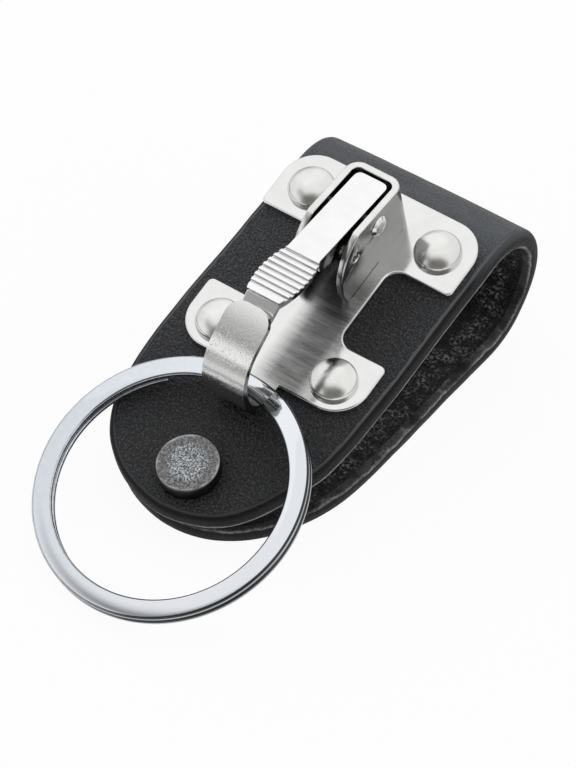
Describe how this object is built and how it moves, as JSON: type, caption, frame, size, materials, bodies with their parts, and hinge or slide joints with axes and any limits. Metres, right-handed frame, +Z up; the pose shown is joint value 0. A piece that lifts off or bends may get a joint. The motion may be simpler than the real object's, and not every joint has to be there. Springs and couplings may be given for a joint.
{
  "type": "belt key clip",
  "caption": "Belt key clip: a folded leather strap shut by a snap, with a riveted steel hook plate, a sprung thumb lever that closes the hook, and a split ring for keys.",
  "frame": {"origin": "on the flat outside of the back panel, straight below the middle of the four rivets of the plate", "axes": "+X across the strap, +Y towards the fold that hangs on the belt, +Z up out of the face it lies on"},
  "size_m": [0.04, 0.0854, 0.0321],
  "materials": {
    "strap_leather": "fine-grained black leather, satin",
    "plate_steel": "polished stainless sheet",
    "housing_steel": "satin stainless sheet with bright rim",
    "lever_steel": "polished",
    "rivet_steel": "polished",
    "spring_steel": "drawn wire",
    "snap_nickel": "antique nickel",
    "ring_steel": "mirror polish"
  },
  "bodies": {
    "back": {"strap_back_panel": "strap_leather", "strap_fold": "strap_leather", "snap_stud": "snap_nickel", "snap_post": "snap_nickel"},
    "front": {"strap_front_panel": "strap_leather", "hook_plate": "plate_steel", "lever_housing": "housing_steel", "lever_pin": "rivet_steel", "lever_spring": "spring_steel", "snap_cap": "snap_nickel", "snap_socket": "snap_nickel", "rivet_upper_left": "rivet_steel", "rivet_cap_upper_left": "rivet_steel", "rivet_upper_right": "rivet_steel", "rivet_cap_upper_right": "rivet_steel", "rivet_lower_left": "rivet_steel", "rivet_cap_lower_left": "rivet_steel", "rivet_lower_right": "rivet_steel", "rivet_cap_lower_right": "rivet_steel"},
    "lever": {"thumb_lever": "lever_steel"},
    "ring": {"split_ring": "ring_steel"}
  },
  "joints": [
    {"name": "strap_open", "type": "hinge", "parent": "back", "child": "front", "pos_m": [0, 0.02405, 0.01221], "axis": [-1, 0, 0], "range_deg": [0, 60], "stiffness_Nm_per_rad": 0.03, "deforming": ["strap_fold"]},
    {"name": "lever_press", "type": "hinge", "parent": "front", "child": "lever", "pos_m": [0, 0.00598, 0.02867], "axis": [1, 0, 0], "range_deg": [0, 12], "stiffness_Nm_per_rad": 0.2, "springref_deg": -14.32, "deforming": ["lever_spring"]},
    {"name": "ring_swing", "type": "hinge", "parent": "front", "child": "ring", "pos_m": [0, -0.02004, 0.01637], "axis": [-1, 0, 0], "range_deg": [0, 120]}
  ]
}
